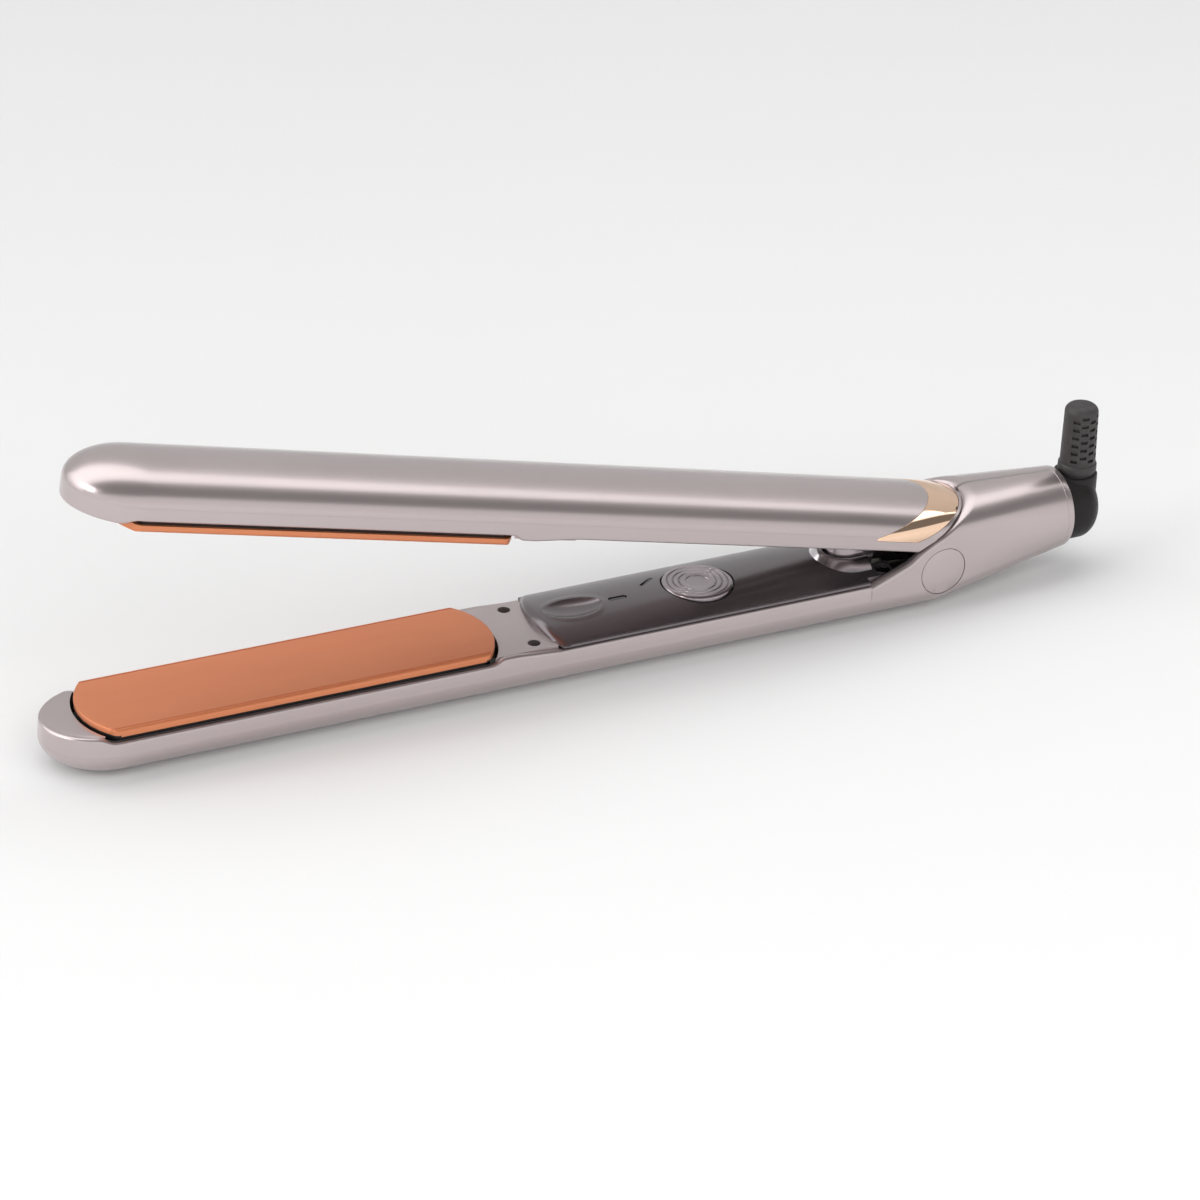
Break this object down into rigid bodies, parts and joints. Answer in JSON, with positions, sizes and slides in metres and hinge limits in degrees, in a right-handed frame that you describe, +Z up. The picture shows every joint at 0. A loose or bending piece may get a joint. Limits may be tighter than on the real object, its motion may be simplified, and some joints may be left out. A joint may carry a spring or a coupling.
{
  "type": "hair flat iron",
  "caption": "Slim two-armed hair straightener with floating copper-coloured plates, a sprung hinge, a round power button and a swivelling bend relief.",
  "frame": {"origin": "centre of the iron's length and width, at the flat it stands on", "axes": "+X from the tip to the cord swivel, +Y across the arms, +Z up, with the lower arm level and the upper arm open"},
  "size_m": [0.271, 0.027, 0.0756],
  "materials": {
    "mauve_gloss": "gloss metallic lacquer",
    "dark_mauve": "gloss",
    "mauve_metal": "satin",
    "chrome": "polished",
    "copper_plate": "satin copper coating",
    "rose_gold": "polished",
    "black_plastic": "satin",
    "soft_black": "matt",
    "ceramic": "matt ceramic",
    "component_black": "matt",
    "silicone": "matt",
    "steel": "bright",
    "spring_steel": "bright",
    "smoked_lens": "gloss",
    "board_green": "satin",
    "led_clear": "gloss",
    "bush_white": "satin",
    "lead_sleeve": "braided glass sleeve"
  },
  "bodies": {
    "lower_arm": {"lower_shell": "mauve_gloss", "lower_inner_cover": "mauve_gloss", "rear_collar": "mauve_gloss", "control_panel": "dark_mauve", "slot_bezel": "chrome", "hinge_cap_near": "mauve_metal", "hinge_cap_far": "mauve_metal", "lower_cover_screws": "steel", "panel_screws": "steel", "lamp_lens": "smoked_lens", "status_lens": "smoked_lens", "circuit_board": "board_green", "push_switch": "component_black", "indicator_leds": "led_clear", "triac": "component_black", "capacitor": "component_black", "board_controller": "component_black", "thermal_fuse": "steel", "hinge_pin": "steel", "hinge_spring": "spring_steel", "slip_contact": "component_black", "supply_leads": "lead_sleeve", "lower_heater_leads": "lead_sleeve", "lower_float_pads": "silicone"},
    "upper_arm": {"upper_shell": "mauve_gloss", "upper_inner_cover": "mauve_gloss", "upper_trim": "rose_gold", "hinge_tongue": "mauve_metal", "hinge_bracket": "steel", "hinge_bush_near": "bush_white", "hinge_bush_far": "bush_white", "upper_cover_screws": "steel", "bracket_screws": "steel", "upper_thermal_fuse": "steel", "upper_heater_leads": "lead_sleeve", "upper_float_pads": "silicone"},
    "lower_floating_plate": {"lower_plate": "copper_plate", "lower_plate_carrier": "black_plastic", "lower_heater": "ceramic", "lower_thermistor": "component_black"},
    "upper_floating_plate": {"upper_plate": "copper_plate", "upper_plate_carrier": "black_plastic", "upper_heater": "ceramic", "upper_thermistor": "component_black"},
    "power_button": {"power_button": "mauve_metal"},
    "cord_swivel": {"swivel_hub": "black_plastic", "strain_relief": "soft_black", "swivel_clip": "steel"}
  },
  "joints": [
    {"name": "arm_hinge", "type": "hinge", "parent": "lower_arm", "child": "upper_arm", "pos_m": [0.0869, 0, 0.01135], "axis": [0, 1, 0], "range_deg": [-13.3, 0], "stiffness_Nm_per_rad": 0.6, "springref_deg": 20.05},
    {"name": "lower_plate_float", "type": "slide", "parent": "lower_arm", "child": "lower_floating_plate", "axis": [0, 0, -1], "range_m": [0, 0.0008], "stiffness_N_per_m": 6000, "springref_m": -0.001, "deforming": ["lower_float_pads"]},
    {"name": "upper_plate_float", "type": "slide", "parent": "upper_arm", "child": "upper_floating_plate", "axis": [0.2317, 0, 0.9728], "range_m": [0, 0.0008], "stiffness_N_per_m": 6000, "springref_m": -0.001, "deforming": ["upper_float_pads"]},
    {"name": "power_button_push", "type": "slide", "parent": "lower_arm", "child": "power_button", "axis": [0, 0, -1], "range_m": [0, 0.0008], "stiffness_N_per_m": 800, "springref_m": -0.001},
    {"name": "cord_swivel_turn", "type": "hinge", "parent": "lower_arm", "child": "cord_swivel", "pos_m": [0.125, 0, 0.01545], "axis": [1, 0, 0], "continuous": true}
  ]
}
